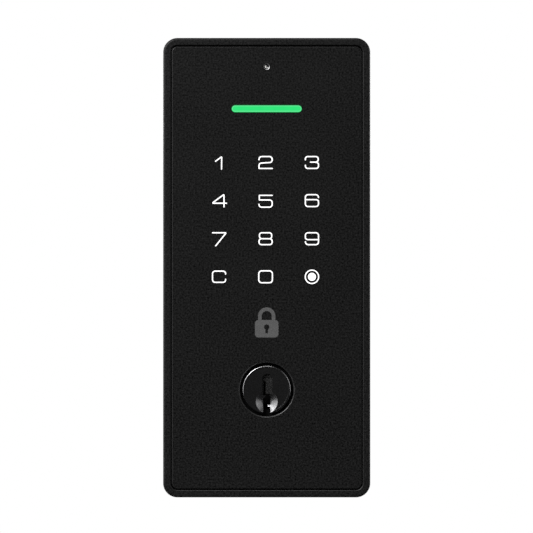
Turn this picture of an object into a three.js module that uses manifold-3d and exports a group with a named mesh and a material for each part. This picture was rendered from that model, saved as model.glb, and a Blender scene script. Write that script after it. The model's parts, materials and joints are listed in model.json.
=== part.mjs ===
// Outside unit of a keypad smart lock, as it comes off the door: a die-cast housing with a touch panel, the
// keypad electronics behind it, and a five-pin key cylinder with its tailpiece.
// Millimetres. +X right and +Z up, seen from outside, and +Y into the door.
// The origin is on the cylinder's axis, in the plane of the door face.
import * as THREE from "three";
import { mergeVertices } from "three/addons/utils/BufferGeometryUtils.js";
import Module from "manifold-3d";

const wasm = await Module();
wasm.setup();

// ---- Driving dimensions ------------------------------------------------------------------------

// Outline and face, heights measured upwards from the cylinder axis
const unitWidth = 65.3;
const unitDepth = 22; // door face to front face
const axisAboveBottom = 34.05;
const iconAboveAxis = 21; // lock symbol
const keysAboveIcon = 14.5; // symbol to the lowest key row
const keyRows = 4;
const keyColumns = 3;
const rowPitch = 12;
const columnPitch = 14.6;
const barAboveKeys = 17; // top key row to the status bar
const sensorAboveBar = 13.2;
const edgeAboveSensor = 9.1;
const cornerRadius = 4.5;
const frontEdge = 0.8; // rounding of the housing's outer edges

// Housing
const wall = 2.2;
const rimFace = 2.4; // front face of the rim, outside the panel
const panelGap = 0.35; // groove all round the panel
const ledgeThickness = 3;
const endLedge = 3;
const windowAboveShell = 6.6;
const bossRadius = 3;
const seat = 0.2; // gap between faces that rest on each other
const slide = 0.25; // gap round a piece in its hole
const stackGap = 0.4; // gap round what stands in the window

// Touch panel and what lies behind it
const panelThickness = 2.4;
const adhesiveThickness = 0.4;
const adhesiveWidth = 2;
const filmThickness = 0.3;
const barLength = 21.9;
const barHeight = 2.05;
const barFoot = 0.9; // step of the light bar behind the panel
const sensorRadius = 1.05;
const sensorFoot = 0.6;
const wellWidth = 9;
const wellHeight = 7.6;
const iconWell = 10.4;
const boardThickness = 1.6;
const boardGap = 0.7; // to the housing's walls and bosses
const boardAboveBible = 2.2;
const ledSize = new THREE.Vector3(1.8, 0.6, 1.2); // width, depth, height

// Back of the unit
const gasketThickness = 1.2;
const gasketWidth = 3.7;
const gasketInset = 0.8;
const plateThickness = 1.6;
const postSpacing = 41; // centre to centre, through a 54 mm door bore
const postRadius = 3.75;
const postFlange = 4.6;
const postReach = 16; // past the door face
const postThread = 2.5; // radius of the threaded hole
const postThreadDepth = 14;
const outletWidth = 12; // cable outlet, inside the grommet
const outletHeight = 5;
const grommetWall = 1.3;
const grommetLip = 1.2;
const grommetLipDepth = 0.8;
const outletAboveBible = 6.8; // centre of the outlet over the cylinder's pin housing

// Cylinder
const plugRadius = 6.42;
const plugClear = 0.08; // running fit of the plug in its bore
const headLip = 1.18; // plug head past the plug
const headProud = 0.6; // plug face in front of the panel
const headEdge = 0.8;
const headGap = 0.87; // dark ring round the plug head
const shellRadius = 8.6;
const shellLength = 25.8;
const bibleWidth = 8.8;
const bibleTop = 15.8; // above the axis
const pinCount = 5;
const pinPitch = 3.96;
const firstPin = 6.2; // behind the front of the shell
const pinRadius = 1.4;
const pinClear = 0.1;
const keyPinLengths = [5.9, 4.9, 6.3, 5.3, 4.6];
const keyPinTip = -1.4; // height of every key pin's tip with no key in the lock
const driverLength = 3.6;
const springWall = 0.3;
const coverThickness = 0.8;
const coverWidth = 5;
const capWall = 1.2; // end of the plug cap
const capThread = 1.55; // side of the plug cap
const plugShoulder = 1.02; // step from the plug to its threaded end
const plugEndLength = 1.6;
const tailWidth = 2.2;
const tailHeight = 6;
const tailReach = 52; // past the door face
const tailBase = 1;
const clipThickness = 1.4;
const clipGroove = 0.8; // depth of the groove round the shell
const clipClear = 1.3; // clip to back plate
const tubeWall = 2.6; // housing's tube round the cylinder
const socketWall = 1.4; // housing's sockets round the posts
const socketDepth = 5;
const sunk = 0.5; // what stands on a wall starts this far inside it
const pilotFloor = 0.6; // left in front of a blind screw hole
const sealClear = 0.05;
const sealWidth = 2.8;

// Keyway, seen from outside: x to the right, z up from the axis
const keywayHalf = 1.15;
const keywayShoulder = -1.4;
const legLeft = -0.95;
const legRight = -0.35;
const legTop = 2.5;
const rightWard = { x: 0.35, bottom: -5.4, top: -4.8 };
const leftWard = { x: -0.4, bottom: -2.7, top: -1.8 };
const mouth = { x: 0.2, half: 1.6, top: 5, depth: 1.1 };
const dish = { z: -3.8, radius: 3.4, floor: 1.8, depth: 1.1 };

// Fasteners: shank radius, shank length, head radius, head height
const plateScrew = { shank: 1.35, length: 8, head: 2.5, height: 0.9 };
const boardScrew = { shank: 0.95, length: 3.4, head: 1.8, height: 1.2 };
const clipScrew = { shank: 1.2, length: 6, head: 2.3, height: 0.85 };
const screwClear = 0.25;
const headRoom = 0.5; // round a screw head in the gasket
const recessWidth = 0.5; // cross recess

// ---- Levels and places worked out from them ----------------------------------------------------

const face = -unitDepth;
const halfWidth = unitWidth / 2;
const bottom = -axisAboveBottom;
const iconHeight = iconAboveAxis;
const lowestRow = iconHeight + keysAboveIcon;
const topRow = lowestRow + (keyRows - 1) * rowPitch;
const barCentre = topRow + barAboveKeys;
const sensorCentre = barCentre + sensorAboveBar;
const top = sensorCentre + edgeAboveSensor;

const panelBack = face + panelThickness;
const ledgeFront = panelBack + seat + adhesiveThickness + seat;
const ledgeBack = ledgeFront + ledgeThickness;
const filmFront = panelBack + seat;
const guideFront = filmFront + filmThickness + seat;
const guideBack = ledgeBack;
const boardFront = ledgeBack + seat;
const boardBack = boardFront + boardThickness;
const lampFront = boardFront - ledSize.y - seat;
const partsFront = boardBack + seat; // what is soldered on the board's back
const gasketFront = -gasketThickness;
const rimBack = gasketFront - seat;
const plateBack = rimBack;
const plateFront = plateBack - plateThickness;
const bossBack = plateFront - seat;
const clipBack = plateFront - clipClear;
const clipFront = clipBack - clipThickness;
const tubeBack = clipFront - seat;

const pocket = inset(rimFace); // recess that takes the panel
const panelEdge = inset(rimFace + panelGap);
const cavity = inset(wall);
const screwX = cavity.right - bossRadius; // back plate screws, in bosses that join the side walls
const boardWindow = {
  left: bossRadius + slide - screwX,
  right: screwX - bossRadius - slide,
  bottom: shellRadius + windowAboveShell,
  top: pocket.top - endLedge,
  radius: 1.5,
};
const shellFront = panelBack + seat;
const shellBack = shellFront + shellLength;
const headFront = face - headProud;
const headBack = shellFront - seat;
const headRadius = plugRadius + headLip;
const holeRadius = headRadius + headGap;
const boreRadius = plugRadius + plugClear;
const plugEnd = plugRadius - plugShoulder;
const capRadius = plugEnd + slide + capThread;
const chamberRadius = pinRadius + pinClear;
const coverBottom = bibleTop - coverThickness - seat / 2;
const shearTop = (plugRadius + boreRadius) / 2 + 0.05; // lowest that a driver pin may stand
const outletCentre = bibleTop + outletAboveBible;

const screwHeights = [bottom + 7, lowestRow + rowPitch * 1.5, top - 7.2];
const boardScrewX = (boardWindow.right + cavity.right) / 2;
const boardScrewHeights = [lowestRow - 4, topRow + 8];
const clipScrewPlace = { x: 11.5, z: -13.5 };

// The unit's outline taken in by a distance on all sides
function inset(by) {
  return {
    left: -halfWidth + by,
    right: halfWidth - by,
    bottom: bottom + by,
    top: top - by,
    radius: Math.max(cornerRadius - by, 0.6),
  };
}

// ---- Shapes ------------------------------------------------------------------------------------

const arcSteps = 5;
const roundSides = 40;
const smallSides = 16;

function roundedRect({ left, right, bottom: low, top: high, radius }) {
  const shape = new THREE.Shape();
  shape.moveTo(left + radius, low);
  shape.lineTo(right - radius, low);
  shape.absarc(right - radius, low + radius, radius, -Math.PI / 2, 0);
  shape.lineTo(right, high - radius);
  shape.absarc(right - radius, high - radius, radius, 0, Math.PI / 2);
  shape.lineTo(left + radius, high);
  shape.absarc(left + radius, high - radius, radius, Math.PI / 2, Math.PI);
  shape.lineTo(left, low + radius);
  shape.absarc(left + radius, low + radius, radius, Math.PI, Math.PI * 1.5);
  return shape;
}

// A rounded rectangle by its centre
function tablet(x, z, width, height, radius) {
  return roundedRect({
    left: x - width / 2,
    right: x + width / 2,
    bottom: z - height / 2,
    top: z + height / 2,
    radius,
  });
}

function stadium(x, z, width, height) {
  return tablet(x, z, width, height, height / 2 - 0.001);
}

function polygon(points) {
  return new THREE.Shape(points.map(([x, z]) => new THREE.Vector2(x, z)));
}

// ---- Solids ------------------------------------------------------------------------------------

function solidOf(geometry) {
  const flat = geometry.index ? geometry.toNonIndexed() : geometry;
  const bare = new THREE.BufferGeometry();
  bare.setAttribute("position", flat.getAttribute("position"));
  const merged = mergeVertices(bare, 1e-4);
  const corners = merged.index.array;
  const triangles = [];
  for (let i = 0; i < corners.length; i += 3) {
    const [a, b, c] = corners.slice(i, i + 3);
    if (a !== b && b !== c && a !== c) triangles.push(a, b, c);
  }
  return new wasm.Manifold(
    new wasm.Mesh({
      numProp: 3,
      vertProperties: new Float32Array(merged.attributes.position.array),
      triVerts: new Uint32Array(triangles),
    }),
  );
}

function geometryOf(solid) {
  const mesh = solid.getMesh();
  return new THREE.BufferGeometry()
    .setAttribute("position", new THREE.BufferAttribute(new Float32Array(mesh.vertProperties), 3))
    .setIndex(new THREE.BufferAttribute(new Uint32Array(mesh.triVerts), 1));
}

// A shape drawn in x and z, as thick as from y = front to y = back
function plate(shape, front, back, steps = arcSteps) {
  const geometry = new THREE.ExtrudeGeometry(shape, {
    depth: back - front,
    bevelEnabled: false,
    curveSegments: steps,
  });
  return solidOf(geometry.rotateX(Math.PI / 2).translate(0, back, 0));
}

// The same with its front and back edges rounded
function softPlate(shape, front, back, edge) {
  const geometry = new THREE.ExtrudeGeometry(shape, {
    depth: back - front - 2 * edge,
    bevelThickness: edge,
    bevelSize: edge,
    bevelOffset: -edge,
    bevelSegments: 3,
    curveSegments: arcSteps,
  });
  return solidOf(geometry.rotateX(Math.PI / 2).translate(0, back - edge, 0));
}

// A cylinder or cone along y
function drum(front, back, radius, { x = 0, z = 0, backRadius = radius, sides = roundSides } = {}) {
  const geometry = new THREE.CylinderGeometry(backRadius, radius, back - front, sides);
  return solidOf(geometry.translate(x, (front + back) / 2, z));
}

// A cylinder or cone along z
function rod(low, high, radius, { y = 0, lowRadius = radius, sides = smallSides } = {}) {
  const geometry = new THREE.CylinderGeometry(radius, lowRadius, high - low, sides);
  return solidOf(geometry.rotateX(Math.PI / 2).translate(0, y, (low + high) / 2));
}

function block(left, right, front, back, low, high) {
  const geometry = new THREE.BoxGeometry(right - left, back - front, high - low);
  return solidOf(geometry.translate((left + right) / 2, (front + back) / 2, (low + high) / 2));
}

// A profile of [radius, y] points turned round the y axis
function turned(points, sides = roundSides) {
  const profile = points.map(([radius, y]) => new THREE.Vector2(radius, y));
  return solidOf(new THREE.LatheGeometry(profile, sides));
}

const joined = (first, ...rest) => rest.reduce((all, one) => all.add(one), first);
const cut = (first, ...rest) => rest.reduce((all, one) => all.subtract(one), first);

// A pan-head screw along y, its head's underside at y = 0 and its point towards -y
function screwSolid({ shank, length, head, height }) {
  const body = joined(
    drum(0, height, head, { sides: smallSides, backRadius: head - height * 0.35 }),
    drum(-length, 0.1, shank, { sides: smallSides }),
  );
  const reach = head * 0.55;
  const half = recessWidth / 2;
  const depth = height * 0.55;
  return cut(
    body,
    block(-reach, reach, depth, height + 1, -half, half),
    block(-half, half, depth, height + 1, -reach, reach),
  );
}

// ---- Materials ---------------------------------------------------------------------------------

function finish(color, roughness, metalness) {
  return new THREE.MeshStandardMaterial({ color, roughness, metalness });
}

const blackCoat = finish(0x1c1c1c, 0.55, 0.2);
const blackPanel = finish(0x191919, 0.5, 0);
const greenLight = finish(0x35e67c, 0.4, 0);
const smokedLens = finish(0x5a5a5a, 0.15, 0);
const whitePlastic = finish(0xe6e6e2, 0.5, 0);
const greyFilm = finish(0x4a4a48, 0.4, 0);
const blackTape = finish(0x101010, 0.9, 0);
const greenBoard = finish(0x12452b, 0.5, 0);
const blackChip = finish(0x161616, 0.5, 0);
const tinShield = finish(0xb9b9b4, 0.35, 1);
const zincSteel = finish(0xb4b6b4, 0.4, 1);
const blackSteel = finish(0x222222, 0.45, 0.9);
const blackRubber = finish(0x141414, 0.85, 0);
const blackBrass = finish(0x1d1d1d, 0.25, 0.9);
const rawBrass = finish(0xb08d4a, 0.35, 1);
const nickelSilver = finish(0xa8a499, 0.3, 1);
const springBronze = finish(0xa9743c, 0.35, 1);

// ---- Assembly ----------------------------------------------------------------------------------

const unit = new THREE.Group();
const cylinder = new THREE.Group(); // about the cylinder axis
unit.add(cylinder);

function add(name, solidOrGeometry, material, place = [0, 0, 0], parent = unit) {
  const geometry = solidOrGeometry.isBufferGeometry ? solidOrGeometry : geometryOf(solidOrGeometry);
  const mesh = new THREE.Mesh(geometry, material);
  mesh.name = name;
  mesh.position.set(...place);
  parent.add(mesh);
}

const keyPlaces = [];
for (let row = 0; row < keyRows; row += 1) {
  for (let column = 0; column < keyColumns; column += 1) {
    const x = (column - (keyColumns - 1) / 2) * columnPitch;
    keyPlaces.push({ x, z: topRow - row * rowPitch });
  }
}
const screwPlaces = screwHeights.flatMap((z) => [-screwX, screwX].map((x) => ({ x, z })));
const boardScrewPlaces = boardScrewHeights.flatMap((z) =>
  [-boardScrewX, boardScrewX].map((x) => ({ x, z })),
);
const postPlaces = [
  { side: "left", x: -postSpacing / 2 },
  { side: "right", x: postSpacing / 2 },
];

// The space that the cylinder body takes up, seen along its axis, grown by a clearance
function cylinderSpace(front, back, clear) {
  const bible = block(-bibleWidth / 2 - clear, bibleWidth / 2 + clear, front, back, 0, bibleTop + clear);
  return joined(drum(front, back, shellRadius + clear), bible);
}

// Housing: a rounded box, open at the back, with a pocket for the panel and a window for the keypad
function housing() {
  const through = 1;
  let body = softPlate(roundedRect(inset(0)), face, rimBack, frontEdge);
  body = cut(
    body,
    plate(roundedRect(pocket), face - through, ledgeFront),
    plate(roundedRect(cavity), ledgeBack, rimBack + through),
    plate(roundedRect(boardWindow), ledgeFront - through, ledgeBack + through),
  );
  const bosses = screwPlaces.map(({ x, z }) =>
    joined(
      drum(ledgeBack - sunk, bossBack, bossRadius, { x, z, sides: smallSides }),
      block(
        Math.min(x, Math.sign(x) * (cavity.right + 0.5)),
        Math.max(x, Math.sign(x) * (cavity.right + 0.5)),
        ledgeBack - sunk,
        bossBack,
        z - bossRadius * 0.8,
        z + bossRadius * 0.8,
      ),
    ),
  );
  const clipBosses = [-1, 1].map((side) =>
    drum(ledgeBack - sunk, tubeBack, bossRadius, {
      x: side * clipScrewPlace.x,
      z: clipScrewPlace.z,
      sides: smallSides,
    }),
  );
  const sockets = postPlaces.map(({ x }) =>
    drum(ledgeBack - sunk, ledgeBack + socketDepth, postFlange + slide + socketWall, {
      x,
      sides: smallSides,
    }),
  );
  const tube = drum(ledgeBack - sunk, tubeBack, shellRadius + slide + tubeWall);
  body = joined(body, tube, ...bosses, ...clipBosses, ...sockets);
  return cut(
    body,
    drum(face, tubeBack + through, shellRadius + slide),
    cylinderSpace(ledgeBack, tubeBack + through, slide),
    ...postPlaces.map(({ x }) =>
      drum(ledgeBack, ledgeBack + socketDepth + 1, postFlange + slide, { x, sides: smallSides }),
    ),
    ...screwPlaces.map(({ x, z }) => pilot(plateScrew, bossBack, x, z)),
    ...boardScrewPlaces.map(({ x, z }) =>
      screwHole(boardScrew, ledgeFront + pilotFloor, ledgeBack + through, x, z),
    ),
    ...[-1, 1].map((side) => pilot(clipScrew, tubeBack, side * clipScrewPlace.x, clipScrewPlace.z)),
  );
}

function screwHole(screw, front, back, x, z) {
  return drum(front, back, screw.shank + screwClear, { x, z, sides: smallSides });
}

// A blind hole for a screw whose head stands over its mouth
function pilot(screw, mouthLevel, x, z) {
  return screwHole(screw, mouthLevel - screw.length, mouthLevel + 1, x, z);
}

function touchPanel() {
  const body = softPlate(roundedRect(panelEdge), face, panelBack, 0.2);
  return cut(
    body,
    drum(face - 1, panelBack + 1, holeRadius, { sides: 48 }),
    plate(stadium(0, barCentre, barLength + slide, barHeight + slide), face - 1, panelBack + 1, 5),
    drum(face - 1, panelBack + 1, sensorRadius + slide / 2, { z: sensorCentre, sides: smallSides }),
  );
}

function panelAdhesive() {
  const outer = inset(rimFace + panelGap + 0.5);
  const inner = inset(rimFace + panelGap + 0.5 + adhesiveWidth);
  const front = panelBack + seat;
  return cut(
    plate(roundedRect(outer), front, front + adhesiveThickness),
    plate(roundedRect(inner), front - 1, front + adhesiveThickness + 1),
  );
}

// Foam washer that keeps rain out of the gap round the cylinder
function cylinderSeal() {
  const front = panelBack + seat;
  const back = front + adhesiveThickness;
  const inner = shellRadius + sealClear;
  return cut(drum(front, back, inner + sealWidth), drum(front - 1, back + 1, inner));
}

// What stands in the window keeps this far inside it
const stackEdge = {
  left: boardWindow.left + stackGap,
  right: boardWindow.right - stackGap,
  bottom: boardWindow.bottom + stackGap,
  top: boardWindow.top - stackGap,
  radius: boardWindow.radius - stackGap,
};

function touchFilm() {
  const front = filmFront - 1;
  const back = filmFront + filmThickness + 1;
  return cut(
    plate(roundedRect(stackEdge), filmFront, filmFront + filmThickness),
    plate(stadium(0, barCentre, barLength + 2 * barFoot + 1, barHeight + 2 * barFoot + 1), front, back),
    drum(front, back, sensorRadius + sensorFoot + slide, { z: sensorCentre, sides: smallSides }),
  );
}

function lightGuide() {
  const front = guideFront - 1;
  const back = guideBack + 1;
  return cut(
    plate(roundedRect(stackEdge), guideFront, guideBack),
    ...keyPlaces.map(({ x, z }) => plate(tablet(x, z, wellWidth, wellHeight, 1.5), front, back, 1)),
    plate(tablet(0, iconHeight, iconWell, iconWell * 0.9, 1.5), front, back, 1),
    plate(stadium(0, barCentre, barLength + 2 * barFoot + 1, barHeight + 2 * barFoot + 1), front, back),
    drum(front, back, sensorRadius + sensorFoot + slide, { z: sensorCentre, sides: smallSides }),
  );
}

function lightBar() {
  const step = panelBack + seat;
  return joined(
    plate(stadium(0, 0, barLength, barHeight), face, step + 0.1, 5),
    plate(stadium(0, 0, barLength + 2 * barFoot, barHeight + 2 * barFoot), step, lampFront - seat, 5),
  );
}

function sensorLens() {
  const step = panelBack + seat;
  const foot = lampFront - seat;
  const radius = sensorRadius;
  return turned(
    [
      [0, face],
      [radius, face],
      [radius, step],
      [radius + sensorFoot, step],
      [radius + sensorFoot, foot],
      [0, foot],
    ],
    smallSides,
  );
}

// Circuit board, with the lamps that are soldered on its front
function keypadBoard() {
  const area = {
    left: cavity.left + boardGap,
    right: cavity.right - boardGap,
    bottom: bibleTop + boardAboveBible,
    top: cavity.top - boardGap,
    radius: 1,
  };
  const lamps = [
    ...keyPlaces,
    { x: 0, z: iconHeight },
    { x: -barLength / 3, z: barCentre },
    { x: 0, z: barCentre },
    { x: barLength / 3, z: barCentre },
    { x: 0, z: sensorCentre },
  ];
  const { x: width, y: depth, z: height } = ledSize;
  const body = joined(
    plate(roundedRect(area), boardFront, boardBack),
    ...lamps.map(({ x, z }) => {
      const [front, back] = [boardFront - depth, boardFront + boardThickness / 2];
      return block(x - width / 2, x + width / 2, front, back, z - height / 2, z + height / 2);
    }),
  );
  return cut(
    body,
    ...screwPlaces.map(({ x, z }) => {
      const reach = bossRadius + boardGap;
      const wallSide = Math.sign(x) * cavity.right;
      const [left, right] = [x - Math.sign(x) * reach, wallSide].sort((a, b) => a - b);
      return block(left, right, boardFront - 1, boardBack + 1, z - reach, z + reach);
    }),
    ...boardScrewPlaces.map(({ x, z }) =>
      screwHole(boardScrew, boardFront - 1, boardBack + 1, x, z),
    ),
  );
}

// Back plate, with holes for the cylinder, the posts, the cable and its own screws
function backPlate() {
  const { left, right, bottom: low, top: high, radius } = inset(wall + 0.3);
  const front = plateFront - 1;
  const back = plateBack + 1;
  const width = outletWidth + 2 * grommetWall + slide;
  const height = outletHeight + 2 * grommetWall + slide;
  return cut(
    plate(roundedRect({ left, right, bottom: low, top: high, radius }), plateFront, plateBack),
    cylinderSpace(front, back, 0.5),
    ...postPlaces.map(({ x }) => drum(front, back, postRadius + slide, { x, sides: 24 })),
    plate(tablet(0, outletCentre, width, height, 1.5), front, back),
    ...screwPlaces.map(({ x, z }) => screwHole(plateScrew, front, back, x, z)),
  );
}

function doorGasket() {
  return cut(
    plate(roundedRect(inset(gasketInset)), gasketFront, 0),
    plate(roundedRect(inset(gasketInset + gasketWidth)), gasketFront - 1, 1),
    ...screwPlaces.map(({ x, z }) => {
      const radius = plateScrew.head + headRoom;
      return drum(gasketFront - 1, 1, radius, { x, z, sides: smallSides });
    }),
  );
}

function cableGrommet() {
  const width = outletWidth + 2 * grommetWall;
  const height = outletHeight + 2 * grommetWall;
  const lip = (front, back) => plate(
    tablet(0, 0, width + 2 * grommetLip, height + 2 * grommetLip, 2),
    front,
    back,
    2,
  );
  const body = joined(
    plate(tablet(0, 0, width, height, 1.4), plateFront - seat - 0.1, plateBack + seat + 0.1, 2),
    lip(plateFront - seat - grommetLipDepth, plateFront - seat),
    lip(plateBack + seat, plateBack + seat + grommetLipDepth),
  );
  return cut(body, plate(tablet(0, 0, outletWidth, outletHeight, 1), plateFront - 3, 1, 2));
}

function mountingPost() {
  const flangeBack = plateFront - seat;
  const sides = 24;
  const body = joined(
    drum(ledgeBack + seat, flangeBack, postFlange, { sides }),
    drum(flangeBack - 1, postReach, postRadius, { sides }),
  );
  return cut(body, drum(postReach - postThreadDepth, postReach + 1, postThread, { sides }));
}

// ---- Cylinder ----------------------------------------------------------------------------------

const pinPlaces = Array.from({ length: pinCount }, (_, i) => shellFront + firstPin + i * pinPitch);

function cylinderBody() {
  const bibleFront = ledgeBack + seat;
  const body = joined(
    drum(shellFront, shellBack, shellRadius),
    block(-bibleWidth / 2, bibleWidth / 2, bibleFront, shellBack, 0, bibleTop),
  );
  const groove = cut(
    drum(clipFront - seat, clipBack + seat, shellRadius + 1),
    drum(clipFront - 1, clipBack + 1, shellRadius - clipGroove),
    block(-20, 20, clipFront - 2, clipBack + 2, shellRadius / 2, 20),
  );
  const half = (coverWidth + slide) / 2;
  return cut(
    body,
    groove,
    drum(shellFront - 1, shellBack + 1, boreRadius, { sides: 40 }),
    block(-half, half, bibleFront - 1, shellBack + 1, coverBottom - seat / 2, bibleTop + 1),
    ...pinPlaces.map((y) => rod(3, bibleTop, chamberRadius, { y })),
  );
}

function keywayShape() {
  const open = -headRadius - 1;
  return polygon([
    [-keywayHalf, open],
    [keywayHalf, open],
    [keywayHalf, rightWard.bottom],
    [rightWard.x, rightWard.bottom],
    [rightWard.x, rightWard.top],
    [keywayHalf, rightWard.top],
    [keywayHalf, keywayShoulder],
    [legRight, keywayShoulder],
    [legRight, legTop],
    [legLeft, legTop],
    [legLeft, keywayShoulder],
    [-keywayHalf, keywayShoulder],
    [-keywayHalf, leftWard.top],
    [leftWard.x, leftWard.top],
    [leftWard.x, leftWard.bottom],
    [-keywayHalf, leftWard.bottom],
  ]);
}

// The recess round the upper keyway: straight sides and a round top
function mouthShape() {
  const { x, half, top: high } = mouth;
  const shape = new THREE.Shape();
  shape.moveTo(x - half, keywayShoulder);
  shape.lineTo(x + half, keywayShoulder);
  shape.lineTo(x + half, high - half);
  shape.absarc(x, high - half, half, 0, Math.PI);
  return shape;
}

function cylinderPlug() {
  const edge = [0, 1, 2, 3].map((i) => {
    const turn = (i / 3) * (Math.PI / 2);
    return [headRadius - headEdge * (1 - Math.sin(turn)), headFront + headEdge * (1 - Math.cos(turn))];
  });
  const threadFront = shellBack + 2 * seat;
  const body = turned(
    [
      [0, headFront],
      ...edge,
      [headRadius, headBack],
      [plugRadius, headBack],
      [plugRadius, threadFront],
      [plugEnd, threadFront],
      [plugEnd, threadFront + plugEndLength],
      [0, threadFront + plugEndLength],
    ],
    40,
  );
  const cone = drum(headFront - 0.01, headFront + dish.depth, dish.radius, {
    z: dish.z,
    backRadius: dish.floor,
    sides: 24,
  });
  return cut(
    body,
    plate(keywayShape(), headFront - 1, shellBack - 1),
    plate(mouthShape(), headFront - 1, headFront + mouth.depth),
    cone,
    ...pinPlaces.map((y) => rod(keyPinTip - 0.3, plugRadius + 1, chamberRadius, { y })),
  );
}

// A key pin with its tip at z = 0
function keyPin(length) {
  const tip = 0.5;
  const flat = 0.6;
  return turned(
    [
      [0, 0],
      [flat, 0],
      [pinRadius, tip],
      [pinRadius, length - 0.15],
      [pinRadius - 0.15, length],
      [0, length],
    ],
    smallSides,
  );
}

function driverPin() {
  const edge = 0.15;
  return turned(
    [
      [0, 0],
      [pinRadius - edge, 0],
      [pinRadius, edge],
      [pinRadius, driverLength - edge],
      [pinRadius - edge, driverLength],
      [0, driverLength],
    ],
    smallSides,
  );
}

// The space that a pin spring fills: a sleeve as long as the spring is at rest
function springSleeve(length) {
  return turned(
    [
      [pinRadius - springWall, 0],
      [pinRadius, 0],
      [pinRadius, length],
      [pinRadius - springWall, length],
      [pinRadius - springWall, 0],
    ],
    smallSides,
  );
}

// Pins are turned round y and stood up along z
const upright = (solid) => geometryOf(solid).rotateX(Math.PI / 2);

// Strip that closes the pin chambers
function chamberCover() {
  const half = coverWidth / 2;
  const front = ledgeBack + 2 * seat;
  return block(-half, half, front, shellBack - seat, coverBottom, coverBottom + coverThickness);
}

function plugCap() {
  const front = shellBack + 3 * seat;
  const inside = tailBaseFront + tailBase + seat;
  const body = drum(front, inside + capWall, capRadius);
  return cut(
    body,
    drum(front - 1, inside, plugEnd + slide),
    drum(inside - 1, inside + capWall + 1, Math.hypot(tailWidth, tailHeight) / 2 + 0.6),
  );
}

const tailBaseFront = shellBack + 2 * seat + plugEndLength + seat;

function tailpiece() {
  return joined(
    drum(tailBaseFront, tailBaseFront + tailBase, plugEnd - 0.2),
    block(-tailWidth / 2, tailWidth / 2, tailBaseFront + 0.5, tailReach, -tailHeight / 2, tailHeight / 2),
  );
}

// A U-shaped steel clip, pushed up into the groove of the shell from below
function cylinderClip() {
  const inner = shellRadius - clipGroove + slide;
  const half = clipScrewPlace.x + bossRadius;
  const armTop = 3;
  const low = clipScrewPlace.z - bossRadius;
  return cut(
    plate(tablet(0, (low + armTop) / 2, 2 * half, armTop - low, 2.5), clipFront, clipBack),
    drum(clipFront - 1, clipBack + 1, inner),
    block(-inner, inner, clipFront - 1, clipBack + 1, 0, 20),
    ...[-1, 1].map((side) =>
      drum(clipFront - 1, clipBack + 1, clipScrew.shank + screwClear, {
        x: side * clipScrewPlace.x,
        z: clipScrewPlace.z,
        sides: smallSides,
      }),
    ),
  );
}

// ---- Nodes -------------------------------------------------------------------------------------

add("front_housing", housing(), blackCoat);
add("touch_panel", touchPanel(), blackPanel);
add("panel_adhesive", panelAdhesive(), blackTape);
add("touch_film", touchFilm(), greyFilm);
add("key_light_guide", lightGuide(), whitePlastic);
add("status_light_bar", lightBar(), greenLight, [0, 0, barCentre]);
add("sensor_lens", sensorLens(), smokedLens, [0, 0, sensorCentre]);
add("keypad_board", keypadBoard(), greenBoard);

// On the board's back: width, depth, height, and place
const chips = [
  { name: "controller_chip", size: [9, 1.2, 9], x: 9, z: lowestRow + rowPitch, material: blackChip },
  { name: "radio_module", size: [12, 2.4, 17], x: -9.5, z: topRow + 4, material: tinShield },
  { name: "cable_header", size: [12, 6, 6.4], x: 0, z: outletCentre + 10.5, material: whitePlastic },
];
for (const { name, size, x, z, material } of chips) {
  const [width, depth, height] = size;
  add(name, block(-width / 2, width / 2, 0, depth, -height / 2, height / 2), material, [x, partsFront, z]);
}
add("sounder", drum(0, 4.5, 6.5, { sides: 24 }), blackChip, [11, partsFront, topRow + 6]);

boardScrewPlaces.forEach(({ x, z }, i) => {
  add(`board_screw_${i + 1}`, screwSolid(boardScrew), zincSteel, [x, boardBack + seat / 2, z]);
});

add("back_plate", backPlate(), zincSteel);
add("door_gasket", doorGasket(), blackRubber);
add("cable_grommet", cableGrommet(), blackRubber, [0, 0, outletCentre]);
screwPlaces.forEach(({ x, z }, i) => {
  add(`back_plate_screw_${i + 1}`, screwSolid(plateScrew), blackSteel, [x, plateBack + seat / 2, z]);
});
for (const { side, x } of postPlaces) {
  add(`mounting_post_${side}`, mountingPost(), zincSteel, [x, 0, 0]);
}

add("cylinder_seal", cylinderSeal(), blackTape, [0, 0, 0], cylinder);
add("cylinder_body", cylinderBody(), blackBrass, [0, 0, 0], cylinder);
add("cylinder_plug", cylinderPlug(), blackBrass, [0, 0, 0], cylinder);
pinPlaces.forEach((y, i) => {
  const number = i + 1;
  const driverTop = shearTop + driverLength;
  const springLength = coverBottom - seat / 2 - driverTop - seat;
  add(`key_pin_${number}`, upright(keyPin(keyPinLengths[i])), rawBrass, [0, y, keyPinTip], cylinder);
  add(`driver_pin_${number}`, upright(driverPin()), nickelSilver, [0, y, shearTop], cylinder);
  const spring = upright(springSleeve(springLength));
  add(`pin_spring_${number}`, spring, springBronze, [0, y, driverTop + seat / 2], cylinder);
});
add("chamber_cover", chamberCover(), rawBrass, [0, 0, 0], cylinder);
add("plug_cap", plugCap(), rawBrass, [0, 0, 0], cylinder);
add("tailpiece", tailpiece(), zincSteel, [0, 0, 0], cylinder);
add("cylinder_clip", cylinderClip(), zincSteel, [0, 0, 0], cylinder);
for (const [side, x] of [["left", -clipScrewPlace.x], ["right", clipScrewPlace.x]]) {
  const place = [x, clipBack + seat / 2, clipScrewPlace.z];
  add(`clip_screw_${side}`, screwSolid(clipScrew), zincSteel, place, cylinder);
}

export default unit;
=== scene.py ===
"""Looks of the keypad smart lock's outside unit, built round its CAD frame. Metres; the front faces -Y."""
import json
import math

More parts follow.
